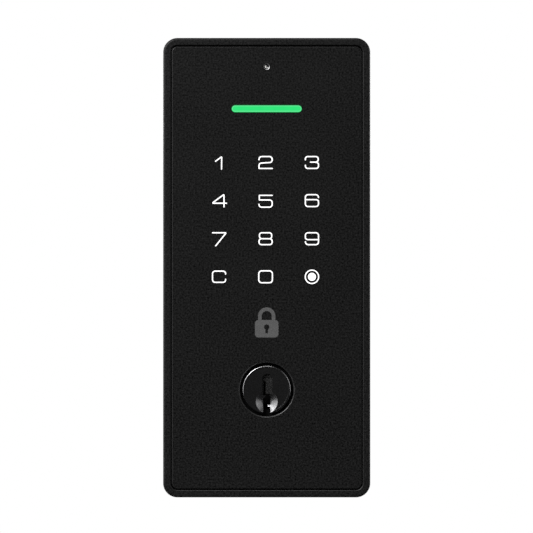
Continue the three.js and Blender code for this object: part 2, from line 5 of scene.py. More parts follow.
import bmesh
import bpy
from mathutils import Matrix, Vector


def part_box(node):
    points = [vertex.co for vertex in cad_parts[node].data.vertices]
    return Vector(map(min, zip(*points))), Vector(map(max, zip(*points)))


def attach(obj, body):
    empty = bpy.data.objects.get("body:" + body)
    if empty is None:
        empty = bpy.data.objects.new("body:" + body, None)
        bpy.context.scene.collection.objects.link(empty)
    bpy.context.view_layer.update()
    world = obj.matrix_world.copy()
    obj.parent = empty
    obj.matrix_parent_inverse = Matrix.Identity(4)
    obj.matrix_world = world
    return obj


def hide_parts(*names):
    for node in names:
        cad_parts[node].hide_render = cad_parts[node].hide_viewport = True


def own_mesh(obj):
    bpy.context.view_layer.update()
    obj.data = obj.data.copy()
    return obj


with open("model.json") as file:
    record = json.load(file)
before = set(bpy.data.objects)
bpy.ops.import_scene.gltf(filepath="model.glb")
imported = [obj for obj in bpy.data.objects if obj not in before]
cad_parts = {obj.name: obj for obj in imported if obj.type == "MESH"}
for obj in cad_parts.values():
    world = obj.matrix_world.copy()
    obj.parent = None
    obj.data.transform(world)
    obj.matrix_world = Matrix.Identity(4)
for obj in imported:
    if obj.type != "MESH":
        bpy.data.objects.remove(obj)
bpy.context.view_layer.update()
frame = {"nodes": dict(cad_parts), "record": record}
NODES = frame["nodes"]
SLOTS = {part["node"]: part["material_slot"] for part in frame["record"]["subparts"]}
MM = 0.001


# ---- Sizes, in millimetres ---------------------------------------------------------------------

def box_mm(node):
    """A CAD node's lowest and highest corners in millimetres."""
    low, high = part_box(node)
    return low / MM, high / MM


def seen_middle(low, high):
    """x and z of the middle of a box."""
    return (low.x + high.x) / 2, (low.z + high.z) / 2


HOUSING_LOW, HOUSING_HIGH = box_mm("front_housing")
PANEL_LOW, PANEL_HIGH = box_mm("touch_panel")
BAR_LOW, BAR_HIGH = box_mm("status_light_bar")
LENS_LOW, LENS_HIGH = box_mm("sensor_lens")
PLUG_LOW, PLUG_HIGH = box_mm("cylinder_plug")
SHELL_LOW, SHELL_HIGH = box_mm("cylinder_body")
TAIL_LOW, TAIL_HIGH = box_mm("tailpiece")

FACE = HOUSING_LOW.y  # front of the rim and of the panel
SEAT = 0.2  # gap between faces that rest on each other
SLIDE = 0.25  # gap round a piece in its hole
CORNER = 4.5
EDGE = 0.8  # rounding of the housing's outer edges
LIP = (0.24, 0.13)  # small bevel on both sides of the groove: width across the face, and depth
RIM = 2.4
PANEL_GAP = 0.35  # groove all round the panel
WALL = 2.2
LEDGE_FRONT = PANEL_HIGH.y + 0.8  # room for the adhesive
LEDGE_BACK = LEDGE_FRONT + 3
WINDOW = {"left": -24.2, "right": 24.2, "low": 15.2, "high": HOUSING_HIGH.z - 5.4, "radius": 1.5}
SHELL_RADIUS = SHELL_HIGH.x
PLUG_RADIUS = 6.42
PLUG_THREAD = 5.4  # radius of the plug's threaded end
HEAD_RADIUS = PLUG_HIGH.x
HOLE_RADIUS = HEAD_RADIUS + 0.87  # of the panel round the plug's head
PIN_RADIUS = 1.4
PINS = range(1, 6)
PLATE_SCREWS = range(1, 7)
BOARD_SCREWS = range(1, 5)

BAR_Z = (BAR_LOW.z + BAR_HIGH.z) / 2
LENS_Z = (LENS_LOW.z + LENS_HIGH.z) / 2
BAR_LENGTH = 21.9
BAR_HEIGHT = 2.05
SENSOR_RADIUS = 1.05
COLUMN_PITCH = 14.6
ROW_PITCH = 12
TOP_ROW = BAR_Z - 17
SYMBOL_Z = TOP_ROW - 3 * ROW_PITCH - 14.5
MARK_THICKNESS = 0.03
MARK_STEP = 0.002  # between strokes that cross
STROKE = 0.37
PRINT_SHIFT = -0.35  # the print sits a little left of the panel's middle
GASKET_WIDTH = 3.7
HEAD_ROOM = 0.5  # of the gasket round the screw heads


# ---- Outlines, seen from the front: x to the right and z up -------------------------------------

def arc(x, z, radius, start, end, steps):
    """Points on an arc, angles in degrees."""
    angles = [math.radians(start + (end - start) * i / steps) for i in range(steps + 1)]
    return [(x + radius * math.cos(a), z + radius * math.sin(a)) for a in angles]


def rounded_rect(left, right, low, high, radius, steps=12):
    """Corner arcs in the same order and number of points for every rounded rectangle."""
    radius = max(radius, 0.02)
    corners = [
        (right - radius, low + radius, -90),
        (right - radius, high - radius, 0),
        (left + radius, high - radius, 90),
        (left + radius, low + radius, 180),
    ]
    return [p for x, z, start in corners for p in arc(x, z, radius, start, start + 90, steps)]


def inset(low, high, corner, by):
    """The outline of a box from low to high, taken in by a distance on all sides."""
    return rounded_rect(low.x + by, high.x - by, low.z + by, high.z - by, max(corner - by, 0.6))


def stadium(x, z, width, height, steps=14):
    """A bar with round ends, centred on x and z."""
    half = height / 2
    return (
        arc(x + width / 2 - half, z, half, -90, 90, steps)
        + arc(x - width / 2 + half, z, half, 90, 270, steps)
    )


# ---- Meshes ------------------------------------------------------------------------------------

def ring_mm(bm, points):
    """New vertices at points in millimetres."""
    return [bm.verts.new((x * MM, y * MM, z * MM)) for x, y, z in points]


def stitch(bm, rows):
    """Joins each row of vertices to the next all the way round. A row may be a single vertex."""
    sides = max(len(row) for row in rows)
    for one, two in zip(rows, rows[1:]):
        for i in range(sides):
            j = (i + 1) % sides
            corners = [one[i % len(one)], one[j % len(one)], two[j % len(two)], two[i % len(two)]]
            unique = list(dict.fromkeys(corners))
            if len(unique) > 2:
                bm.faces.new(unique)


def cap_ends(bm, rows):
    """Closes the first and the last row, where they aren't a single vertex."""
    for row in (rows[0], rows[-1]):
        if len(row) > 1:
            bm.faces.new(row)


def loft(bm, rings, closed=False):
    """Joins outlines, each a list of (x, z) with its own y. If closed, the last meets the first; otherwise both
    ends are capped."""
    rows = [ring_mm(bm, [(x, y, z) for x, z in outline]) for outline, y in rings]
    if closed:
        stitch(bm, rows + rows[:1])
    else:
        stitch(bm, rows)
        cap_ends(bm, rows)


def turned(bm, profile, x=0.0, z=0.0, sides=96):
    """Turns (radius, y) points about the y axis through x and z. An end away from the axis is capped flat,
    unless the profile closes on itself."""
    angles = [2 * math.pi * i / sides for i in range(sides)]
    closed = profile[0] == profile[-1]
    rows = []
    for radius, y in profile[:-1] if closed else profile:
        if radius == 0:
            rows.append(ring_mm(bm, [(x, y, z)]))
        else:
            rows.append(ring_mm(bm, [(x + radius * math.cos(a), y, z + radius * math.sin(a)) for a in angles]))
    if closed:
        stitch(bm, rows + rows[:1])
    else:
        stitch(bm, rows)
        cap_ends(bm, rows)


def turned_upright(bm, profile, y, sides):
    """Turns (radius, z) points about the upright axis at depth y."""
    angles = [2 * math.pi * i / sides for i in range(sides)]
    rows = []
    for radius, z in profile:
        if radius == 0:
            rows.append(ring_mm(bm, [(0, y, z)]))
        else:
            rows.append(ring_mm(bm, [(radius * math.cos(a), y + radius * math.sin(a), z) for a in angles]))
    stitch(bm, rows)
    cap_ends(bm, rows)


def mesh_piece(name, make):
    """A new object whose mesh is what make(bm) adds."""
    bm = bmesh.new()
    make(bm)
    bmesh.ops.recalc_face_normals(bm, faces=bm.faces)
    mesh = bpy.data.meshes.new(name)
    bm.to_mesh(mesh)
    bm.free()
    piece = bpy.data.objects.new(name, mesh)
    bpy.context.scene.collection.objects.link(piece)
    return piece


def bake(piece):
    """Applies a piece's modifiers."""
    graph = bpy.context.evaluated_depsgraph_get()
    graph.update()
    mesh = bpy.data.meshes.new_from_object(piece.evaluated_get(graph))
    piece.modifiers.clear()
    piece.data = mesh


def carve(piece, *cutters):
    """Takes the cutters out of a piece."""
    for cutter in cutters:
        cut = piece.modifiers.new("cut", "BOOLEAN")
        cut.operation = "DIFFERENCE"
        cut.solver = "EXACT"
        cut.object = cutter
    bake(piece)
    for cutter in cutters:
        bpy.data.objects.remove(cutter)


def soften(piece, width, segments=2, angle=35):
    """Rounds a piece's sharp edges."""
    bevel = piece.modifiers.new("edge", "BEVEL")
    bevel.width = width * MM
    bevel.segments = segments
    bevel.limit_method = "ANGLE"
    bevel.angle_limit = math.radians(angle)
    bake(piece)


def smooth(piece, angle=35):
    """Smooth shading, with the flat faces kept flat."""
    piece.data.polygons.foreach_set("use_smooth", [True] * len(piece.data.polygons))
    piece.data.set_sharp_from_angle(angle=math.radians(angle))
    weighted = piece.modifiers.new("normals", "WEIGHTED_NORMAL")
    weighted.keep_sharp = True
    weighted.weight = 100


def dress(piece, material, body="unit", replaces=()):
    """Gives a piece its material and its body."""
    piece.data.materials.clear()
    piece.data.materials.append(material)
    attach(piece, body)
    if replaces:
        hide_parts(*replaces)
    return piece


# ---- Materials ---------------------------------------------------------------------------------

def new_material(name):
    """An empty material with a Principled shader at its output."""
    material = bpy.data.materials.new(name)
    material.use_nodes = True
    tree = material.node_tree
    tree.nodes.clear()
    output = tree.nodes.new("ShaderNodeOutputMaterial")
    shader = tree.nodes.new("ShaderNodeBsdfPrincipled")
    tree.links.new(shader.outputs["BSDF"], output.inputs["Surface"])
    return material, tree, shader


def coordinates(tree, stretch=(1, 1, 1)):
    """Object coordinates, stretched for a brushed or drawn grain."""
    place = tree.nodes.new("ShaderNodeTexCoord")
    mapping = tree.nodes.new("ShaderNodeMapping")
    mapping.inputs["Scale"].default_value = stretch
    tree.links.new(place.outputs["Object"], mapping.inputs["Vector"])
    return mapping.outputs["Vector"]


def noise(tree, vector, size, detail=3.0):
    """Noise whose cells are about size millimetres across."""
    texture = tree.nodes.new("ShaderNodeTexNoise")
    texture.inputs["Scale"].default_value = 1 / (size * MM)
    texture.inputs["Detail"].default_value = detail
    tree.links.new(vector, texture.inputs["Vector"])
    return texture.outputs["Fac"]


def spread(tree, value, low, high):
    """Noise stretched to run from low to high."""
    ranged = tree.nodes.new("ShaderNodeMapRange")
    ranged.inputs["From Min"].default_value = 0.3
    ranged.inputs["From Max"].default_value = 0.7
    ranged.inputs["To Min"].default_value = low
    ranged.inputs["To Max"].default_value = high
    tree.links.new(value, ranged.inputs["Value"])
    return ranged.outputs["Result"]


def blend_colours(tree, factor, one, two):
    """A colour between one and two."""
    mix = tree.nodes.new("ShaderNodeMix")
    mix.data_type = "RGBA"
    mix.inputs["A"].default_value = (*one, 1)
    mix.inputs["B"].default_value = (*two, 1)
    tree.links.new(factor, mix.inputs["Factor"])
    return mix.outputs["Result"]


def finish(name, colour, roughness, metallic=0.0, specular=0.5, grain=0.3, bump=0.004, shade=0.12,
           rough_spread=0.06, stretch=(1, 1, 1), coat=0.0):
    """A finish with a fine grain, in colour, roughness and relief. grain and bump are in millimetres."""
    material, tree, shader = new_material(name)
    vector = coordinates(tree, stretch)
    fine = noise(tree, vector, grain, 4.0)
    broad = noise(tree, coordinates(tree), 18.0, 2.0)
    darker = tuple(c * (1 - shade) for c in colour)
    lighter = tuple(min(c * (1 + shade), 1) for c in colour)
    tint = blend_colours(tree, spread(tree, fine, 0, 1), darker, lighter)
    tree.links.new(tint, shader.inputs["Base Color"])
    wear = tree.nodes.new("ShaderNodeMath")
    wear.operation = "ADD"
    tree.links.new(spread(tree, fine, roughness - rough_spread, roughness + rough_spread), wear.inputs[0])
    tree.links.new(spread(tree, broad, -0.4 * rough_spread, 0.4 * rough_spread), wear.inputs[1])
    tree.links.new(wear.outputs["Value"], shader.inputs["Roughness"])
    relief = tree.nodes.new("ShaderNodeBump")
    relief.inputs["Strength"].default_value = 1.0
    relief.inputs["Distance"].default_value = bump * MM
    tree.links.new(fine, relief.inputs["Height"])
    tree.links.new(relief.outputs["Normal"], shader.inputs["Normal"])
    shader.inputs["Metallic"].default_value = metallic
    shader.inputs["Specular IOR Level"].default_value = specular
    shader.inputs["Coat Weight"].default_value = coat
    return material


def glowing(name, colour, strength, base, roughness=0.4):
    """A lit diffuser: a faint cloudiness in the plastic, and the light behind it."""
    material, tree, shader = new_material(name)
    vector = coordinates(tree)
    cloud = noise(tree, vector, 1.5, 2.0)
    tree.links.new(spread(tree, cloud, roughness - 0.05, roughness + 0.05), shader.inputs["Roughness"])
    dimmer = tuple(c * 0.97 for c in colour)
    tint = blend_colours(tree, spread(tree, cloud, 0, 1), dimmer, colour)
    tree.links.new(tint, shader.inputs["Emission Color"])
    shader.inputs["Base Color"].default_value = (*base, 1)
    shader.inputs["Emission Strength"].default_value = strength
    shader.inputs["Specular IOR Level"].default_value = 0.2
    return material


MATERIALS = {
    "black_coat": finish("black_coat", (0.009, 0.009, 0.009), 0.4, specular=0.2, grain=0.55, bump=0.006,
                         shade=0.9),
    "black_panel": finish("black_panel", (0.0079, 0.0079, 0.0079), 0.4, specular=0.18, grain=0.55, bump=0.005,
                          shade=0.95),
    # Near-black matte for the cylinder body: painted shade for the dark recess round the plug's head, not the
    # body's own colour.
    "body_painted_shade": finish("body_painted_shade", (0.003, 0.003, 0.003), 0.6, specular=0.1, grain=0.3, bump=0.004),
    "groove_edge": finish("groove_edge", (0.007, 0.007, 0.007), 0.36, specular=0.32, grain=0.45, bump=0.004,
                          shade=0.5),
    "hole_edge": finish("hole_edge", (0.012, 0.012, 0.012), 0.36, specular=1.0, grain=0.45, bump=0.004,
                        shade=0.5),
    "green_light": glowing("green_light", (0.031, 0.79, 0.195), 1.0, (0.0, 0.02, 0.005)),
    "green_edge": glowing("green_edge", (0.16, 0.7, 0.33), 1.0, (0.02, 0.05, 0.03)),
    "white_light": glowing("white_light", (1.0, 1.0, 1.0), 1.0, (0.5, 0.5, 0.5)),
    "grey_mark": finish("grey_mark", (0.1, 0.1, 0.1), 0.5, specular=0.2, grain=0.3, bump=0.002),
    "smoked_lens": finish("smoked_lens", (0.02, 0.02, 0.022), 0.12, grain=1.0, bump=0.001, coat=0.6),
    "lens_ring": finish("lens_ring", (0.3, 0.3, 0.3), 0.35, metallic=0.9, grain=0.2, bump=0.002),
    # Near-white die inside the sensor: a painted glint, not the die's own colour.
    "sensor_die_painted_glint": finish("sensor_die_painted_glint", (0.75, 0.75, 0.72), 0.4, grain=0.15, bump=0.003, shade=0.3),
    "white_plastic": finish("white_plastic", (0.75, 0.75, 0.72), 0.45, grain=0.3, bump=0.003, shade=0.04),
    "film": finish("film", (0.09, 0.09, 0.088), 0.3, grain=0.5, bump=0.001),
    "foam_tape": finish("foam_tape", (0.008, 0.008, 0.008), 0.85, specular=0.2, grain=0.15, bump=0.03),
    "circuit_board": finish("circuit_board", (0.008, 0.065, 0.028), 0.32, grain=1.2, bump=0.004, shade=0.25),
    "chip": finish("chip", (0.014, 0.014, 0.014), 0.5, grain=0.12, bump=0.004),
    "tin_shield": finish("tin_shield", (0.55, 0.55, 0.53), 0.3, metallic=1.0, grain=0.25, bump=0.001,
                         stretch=(1, 1, 0.06)),
    "zinc_steel": finish("zinc_steel", (0.5, 0.51, 0.5), 0.36, metallic=1.0, grain=0.3, bump=0.002,
                         stretch=(1, 1, 0.12)),
    "black_steel": finish("black_steel", (0.03, 0.03, 0.032), 0.38, metallic=0.9, grain=0.15, bump=0.003),
    "rubber": finish("rubber", (0.012, 0.012, 0.012), 0.75, specular=0.25, grain=0.2, bump=0.01),
    "black_brass": finish("black_brass", (0.27, 0.27, 0.275), 0.21, metallic=1.0, grain=0.25, bump=0.0003,
                          shade=0.25, rough_spread=0.02),
    "cast_brass": finish("cast_brass", (0.011, 0.011, 0.011), 0.3, specular=1.0, grain=0.55, bump=0.12,
                         shade=0.9),
    "turned_brass": finish("turned_brass", (0.26, 0.26, 0.265), 0.36, metallic=1.0, grain=0.25, bump=0.0003,
                           shade=0.25),
    "raw_brass": finish("raw_brass", (0.56, 0.38, 0.14), 0.28, metallic=1.0, grain=0.15, bump=0.002),
    "nickel_silver": finish("nickel_silver", (0.5, 0.48, 0.43), 0.25, metallic=1.0, grain=0.12, bump=0.002),
    "spring_bronze": finish("spring_bronze", (0.5, 0.27, 0.11), 0.3, metallic=1.0, grain=0.1, bump=0.002),
}


# ---- Housing and panel -------------------------------------------------------------------------

def edge_curve(by, y, radius, towards, steps=6):
    """(inset, y) pairs round an outer edge, from the side wall to the face at y."""
    turns = [math.pi / 2 * i / steps for i in range(steps + 1)]
    return [(by + radius * (1 - math.cos(t)), y + towards * radius * (1 - math.sin(t))) for t in turns]


def groove_edge():
    """(inset, y) pairs over the bevel beside the groove, from the groove's wall to the face."""
    across, down = LIP
    return [(0, FACE + down + 0.08), (0.025, FACE + down + 0.02), (0.06, FACE + down - 0.02),
            (across - 0.05, FACE + 0.025), (across, FACE + 0.004), (across + 0.06, FACE)]


def polish_bevels(piece):
    """Gives the small bevels at the groove and round the cylinder's hole their polished finishes."""
    margin = 1.5
    piece.data.materials.append(MATERIALS["groove_edge"])
    piece.data.materials.append(MATERIALS["hole_edge"])
    for polygon in piece.data.polygons:
        x, y, z = polygon.center / MM
        inside = abs(x) < HOUSING_HIGH.x - margin and HOUSING_LOW.z + margin < z < HOUSING_HIGH.z - margin
        if inside and y < FACE + 1 and -0.96 < polygon.normal.y < -0.6:
            polygon.material_index = 2 if math.hypot(x, z) < HOLE_RADIUS + 1 else 1


def housing():
    """The shell: side walls, rim, pocket, ledge with its window, all in one closed loft."""
    back = HOUSING_HIGH.y
    outer = [(by, y) for by, y in reversed(edge_curve(0, back, 0.5, -1))]
    outer += edge_curve(0, FACE, EDGE, 1)
    lip = [(RIM - by, y) for by, y in groove_edge()[::-1]]
    rings = [(inset(HOUSING_LOW, HOUSING_HIGH, CORNER, by), y) for by, y in outer + lip]
    pocket = inset(HOUSING_LOW, HOUSING_HIGH, CORNER, RIM)
    cavity = inset(HOUSING_LOW, HOUSING_HIGH, CORNER, WALL)
    window = rounded_rect(WINDOW["left"], WINDOW["right"], WINDOW["low"], WINDOW["high"], WINDOW["radius"])
    rings += [(pocket, LEDGE_FRONT), (window, LEDGE_FRONT), (window, LEDGE_BACK), (cavity, LEDGE_BACK),
              (cavity, back)]
    piece = mesh_piece("housing_shell", lambda bm: loft(bm, rings, closed=True))
    bore = mesh_piece("bore", lambda bm: turned(bm, [(SHELL_RADIUS + SLIDE, -30), (SHELL_RADIUS + SLIDE, 0)]))
    carve(piece, bore)
    smooth(piece)
    dress(piece, MATERIALS["black_coat"], replaces=["front_housing"])
    polish_bevels(piece)


def tube_and_bosses():
    """What stands up inside the housing: the cylinder tube, the post sockets and the screw bosses."""
    tube_back = box_mm("cylinder_clip")[0].y - SEAT
    front = LEDGE_BACK - 0.3  # sunk into the ledge
    tube_wall = 2.6
    post_socket = (6.25, 4.85)  # outer and inner radius
    socket_depth = 5
    boss = (3, 1.6)  # outer radius, and the screw hole's
    boss_to_head = 3.0  # from the boss's face to the top of the screw's head

    def socket(bm, x, z, outer, inner, back):
        profile = [(inner, front), (outer + 0.4, front), (outer, front + 0.6), (outer, back - 0.2),
                   (outer - 0.2, back), (inner + 0.15, back), (inner, back - 0.15), (inner, front)]
        turned(bm, profile, x, z, 48)

    def make(bm):
        socket(bm, 0, 0, SHELL_RADIUS + SLIDE + tube_wall, SHELL_RADIUS + SLIDE, tube_back)
        for node in ("mounting_post_left", "mounting_post_right"):
            x, _ = seen_middle(*box_mm(node))
            socket(bm, x, 0, *post_socket, LEDGE_BACK + socket_depth)
        for i in PLATE_SCREWS:
            low, high = box_mm(f"back_plate_screw_{i}")
            socket(bm, *seen_middle(low, high), *boss, high.y - boss_to_head)

    piece = mesh_piece("housing_bosses", make)
    smooth(piece)
    dress(piece, MATERIALS["black_coat"])


def panel():
    """The touch panel: a plate with a softened edge, and three openings."""
    back = PANEL_HIGH.y
    corner = CORNER - RIM - PANEL_GAP
    edge = edge_curve(0, back, 0.2, -1, 3)[::-1] + groove_edge()
    rings = [(inset(PANEL_LOW, PANEL_HIGH, corner, by), y) for by, y in edge]
    piece = mesh_piece("touch_panel_plate", lambda bm: loft(bm, rings))
    chamfer = 0.34
    funnel = [(HOLE_RADIUS + chamfer + 1.6, FACE - 1), (HOLE_RADIUS + chamfer, FACE),
              (HOLE_RADIUS + 0.05, FACE + chamfer * 0.56), (HOLE_RADIUS, FACE + chamfer * 0.75),
              (HOLE_RADIUS, back + 1)]
    hole = mesh_piece("hole", lambda bm: turned(bm, funnel, sides=160))
    opening = stadium(0, BAR_Z, BAR_LENGTH + SLIDE, BAR_HEIGHT + SLIDE)
    slot = mesh_piece("slot", lambda bm: loft(bm, [(opening, FACE - 1), (opening, back + 1)]))
    eye_radius = 1.18
    eye = mesh_piece("eye", lambda bm: turned(
        bm, [(eye_radius, FACE - 1), (eye_radius, back + 1)], z=LENS_Z, sides=48))
    carve(piece, hole, slot, eye)
    smooth(piece, 25)
    dress(piece, MATERIALS["black_panel"], replaces=["touch_panel"])
    polish_bevels(piece)


# ---- Light bar and sensor ----------------------------------------------------------------------

def light_bar():
    """The status bar's diffuser, faintly crowned, with its foot behind the panel."""
    foot = PANEL_HIGH.y + SEAT
    steps = [(0.4, FACE), (0.15, FACE + 0.02), (0.04, FACE + 0.08), (0, FACE + 0.16), (0, foot),
             (-1.8, foot), (-1.8, BAR_HIGH.y)]
    rings = [(stadium(0, BAR_Z, BAR_LENGTH - 0.1 - by, BAR_HEIGHT - 0.2 - by), y) for by, y in steps]
    piece = mesh_piece("light_bar", lambda bm: loft(bm, rings))
    smooth(piece)
    dress(piece, MATERIALS["green_light"], replaces=["status_light_bar"])
    piece.data.materials.append(MATERIALS["green_edge"])
    for polygon in piece.data.polygons:
        y = polygon.center.y / MM
        polygon.material_index = 1 if y < FACE + 0.2 and polygon.normal.y > -0.999 else 0


def sensor():
    """The sensor: a bright ring, and behind a clear window the cup and the square die of the receiver, painted
    near-white as a glint.
    """
    radius = SENSOR_RADIUS
    rim_back = LENS_HIGH.y - 1.5
    rim = [(radius - 0.36, FACE + 0.3), (radius - 0.3, FACE + 0.14), (radius - 0.12, FACE + 0.02),
           (radius - 0.04, FACE + 0.02), (radius, FACE + 0.1), (radius, rim_back), (radius - 0.36, rim_back),
           (radius - 0.36, FACE + 0.3)]
    ring = mesh_piece("sensor_ring", lambda bm: turned(bm, rim, z=LENS_Z, sides=48))
    smooth(ring)
    dress(ring, MATERIALS["lens_ring"])
    inner = radius - 0.38
    level = FACE + 0.3
    base = PANEL_HIGH.y + SEAT
    cup = [(inner - 0.3, level + 0.12), (inner - 0.25, level + 0.1), (inner - 0.05, level),
           (inner, level + 0.02), (inner, base), (radius + 0.6, base), (radius + 0.6, LENS_HIGH.y)]
    lens = mesh_piece("sensor_cup", lambda bm: turned(bm, cup, z=LENS_Z, sides=48))
    smooth(lens)
    dress(lens, MATERIALS["smoked_lens"], replaces=["sensor_lens"])

    # The die's near-white colour is a painted glint, brightest in the taller chip at the left.
    def chips(bm):
        for left, right, low, high in ((-0.5, -0.14, -0.4, 0.4), (0.04, 0.4, -0.36, -0.12)):
            loft(bm, [(rounded_rect(left - by, right + by, LENS_Z + low - by, LENS_Z + high + by, 0.04, 3), y)
                      for by, y in ((0, level + 0.02), (0.04, level + 0.16))])

    die = mesh_piece("sensor_die_painted_glint", chips)
    dress(die, MATERIALS["sensor_die_painted_glint"])


# ---- Markings ----------------------------------------------------------------------------------

def rounded_path(corners, closed=False, steps=8):
    """A path through (x, z, radius) corners, each rounded off by its radius."""
    path = []
    count = len(corners)
    for i, (x, z, radius) in enumerate(corners):
        here = Vector((x, z))
        if radius <= 0 or (not closed and i in (0, count - 1)):
            path.append(here)
            continue
        before = (Vector(corners[i - 1][:2]) - here).normalized()
        after = (Vector(corners[(i + 1) % count][:2]) - here).normalized()
        half = before.angle(after) / 2
        reach = radius / math.tan(half)
        centre = here + (before + after).normalized() * (radius / math.sin(half))
        start = here + before * reach - centre
        sweep = start.angle_signed(here + after * reach - centre)
        for k in range(steps + 1):
            turn = -sweep * k / steps
            path.append(centre + Vector((start.x * math.cos(turn) - start.y * math.sin(turn),
                                         start.x * math.sin(turn) + start.y * math.cos(turn))))
    return path


def draw_stroke(bm, path, width, front, closed=False):
    """A flat ribbon along a path, with round ends, as thick as the marking."""
    half = width / 2
    sides = []
    count = len(path)
    for i, point in enumerate(path):
        before = path[i - 1] if closed or i else point
        after = path[(i + 1) % count] if closed or i < count - 1 else point
        along = (after - before).normalized()
        across = Vector((-along.y, along.x)) * half
        sides.append((point + across, point - across))
    left = [a for a, _ in sides]
    right = [b for _, b in sides]
    levels = (front, front + MARK_THICKNESS)
    if closed:
        rows = [ring_mm(bm, [(p.x, y, p.y) for p in outline]) for y in levels for outline in (left, right)]
        stitch(bm, [rows[k] for k in (0, 1, 3, 2, 0)])
        return
    end = path[-1] - path[-2]
    start = path[0] - path[1]

    def cap(centre, heading):
        aim = math.atan2(heading.y, heading.x)
        turns = [aim + math.pi / 2 - math.pi * k / 8 for k in range(1, 8)]
        return [Vector((centre.x + half * math.cos(t), centre.y + half * math.sin(t))) for t in turns]

    outline = left + cap(path[-1], end) + right[::-1] + cap(path[0], start)
    rows = [ring_mm(bm, [(p.x, y, p.y) for p in outline]) for y in levels]
    stitch(bm, rows)
    last = len(outline) - 8  # the right side's end, across from the path's start
    for row in rows:
        for i in range(count - 1):
            bm.faces.new((row[i], row[i + 1], row[last - i - 1], row[last - i]))
        bm.faces.new(row[count - 1:count + 8])
        bm.faces.new(row[last:] + row[:1])


A = 2.07  # half width of a key's figure
B = 1.87  # half height
R = 0.85  # corner rounding
SIX = [(A - 0.03, 0.95, 0), (A - 0.03, B, R), (-A, B, R), (-A, -B, R), (A, -B, R), (A, 0.3, 0.75),
       (-A + 0.05, 0.3, 0)]
EIGHT_TOP = [(-1.93, 0.0, 0.75), (1.93, 0.0, 0.75), (1.93, B, 0.75), (-1.93, B, 0.75)]
EIGHT_LOW = [(-A, -B, 0.8), (A, -B, 0.8), (A, 0.0, 0.8), (-A, 0.0, 0.8)]
FIGURES = {
    "1": [([(-1.15, 0.4, 0), (0.78, B - 0.04, 0.12), (0.72, -B - 0.2, 0)], False)],
    "2": [([(-A, 0.85, 0), (-A, B, R), (A, B, R), (A, 0.06, 0.75), (-A, -0.24, 0.75), (-A, -B, 0.08),
            (A + 0.05, -B, 0)], False)],
    "3": [([(-A, 0.85, 0), (-A, B, 0.75), (A - 0.1, B, 0.75), (A - 0.1, 0.12, 0.75), (-0.45, 0.12, 0)], False),
          ([(0.9, 0.08, 0), (A, 0.08, 0.8), (A, -B, 0.8), (-A, -B, 0.8), (-A, -0.85, 0)], False)],
    "4": [([(1.5, -B - 0.1, 0), (1.5, B + 0.08, 0.15), (-2.25, -0.82, 0.12), (2.3, -0.82, 0)], False)],
    "5": [([(A, B - 0.22, 0), (-A + 0.1, B - 0.22, 0.1), (-A + 0.1, 0.2, 0.1), (A, 0.2, 0.8),
            (A, -B - 0.2, R), (-A, -B - 0.2, R), (-A, -1.15, 0)], False)],
    "6": [(SIX, False)],
    "7": [([(-A - 0.05, B, 0), (2.2, B, 0.12), (-1.1, -B - 0.36, 0)], False)],
    "8": [(EIGHT_TOP, True), (EIGHT_LOW, True)],
    "9": [([(-x, -z, r) for x, z, r in SIX], False)],
    "C": [([(A - 0.05, 0.85, 0), (A - 0.05, B - 0.07, R), (-A - 0.05, B - 0.07, R),
            (-A - 0.05, -B + 0.13, R), (A - 0.05, -B + 0.13, R), (A - 0.05, -0.78, 0)], False)],
    "0": [([(-A - 0.08, -B, 0.95), (A + 0.08, -B, 0.95), (A + 0.08, B, 0.95), (-A - 0.08, B, 0.95)], True)],
}
KEYS = ["123", "456", "789", "C0"]


def circle(centre, radius, steps=40):
    """Points round a centre."""
    angles = [2 * math.pi * i / steps for i in range(steps)]
    return [Vector((radius * math.cos(a), radius * math.sin(a))) + centre for a in angles]


def key_markings():
    """The lit figures, one piece each, and the ring-and-dot of the last key."""
    front = FACE - MARK_THICKNESS
    for row, figures in enumerate(KEYS):
        for column, figure in enumerate(figures):
            x = (column - 1) * COLUMN_PITCH + PRINT_SHIFT
            z = TOP_ROW - row * ROW_PITCH

            def make(bm):
                for k, (corners, closed) in enumerate(FIGURES[figure]):
                    path = rounded_path([(cx + x, cz + z, r) for cx, cz, r in corners], closed)
                    draw_stroke(bm, path, STROKE, front - MARK_STEP * k, closed)

            piece = mesh_piece(f"key_mark_{figure}", make)
            dress(piece, MATERIALS["white_light"])
    place = Vector((COLUMN_PITCH + PRINT_SHIFT, TOP_ROW - 3 * ROW_PITCH))
    ring_radius = 2.1
    ring_width = 0.36
    dot_radius = 1.26

    def ring_and_dot(bm):
        draw_stroke(bm, circle(place, ring_radius), ring_width, front, closed=True)
        dot = [tuple(p) for p in circle(place, dot_radius)]
        loft(bm, [(dot, front), (dot, FACE)])

    piece = mesh_piece("key_mark_enter", ring_and_dot)
    dress(piece, MATERIALS["white_light"])


def lock_symbol():
    """A plain padlock, printed in grey: a rounded body with a keyhole, and a shackle."""
    front = FACE - MARK_THICKNESS
    body = rounded_rect(-3.7, 3.7, SYMBOL_Z - 4.6, SYMBOL_Z + 0.9, 1.1)
    shackle_width = 1.15

    def make(bm):
        loft(bm, [(body, front), (body, FACE)])
        legs = [(-2.15, 0.6, 0), (-2.15, 4.3, 2.14), (2.15, 4.3, 2.14), (2.15, 0.6, 0)]
        shackle = rounded_path([(x, z + SYMBOL_Z, r) for x, z, r in legs], steps=16)
        draw_stroke(bm, shackle, shackle_width, front - MARK_STEP)

    piece = mesh_piece("lock_symbol", make)
    foot = SYMBOL_Z - 3.3
    keyhole = arc(0, SYMBOL_Z - 1.35, 0.85, -60, 240, 20) + [(-0.38, foot), (0.38, foot)]
    hole = mesh_piece("keyhole", lambda bm: loft(bm, [(keyhole, front - 1), (keyhole, FACE + 1)]))
    carve(piece, hole)
    dress(piece, MATERIALS["grey_mark"])


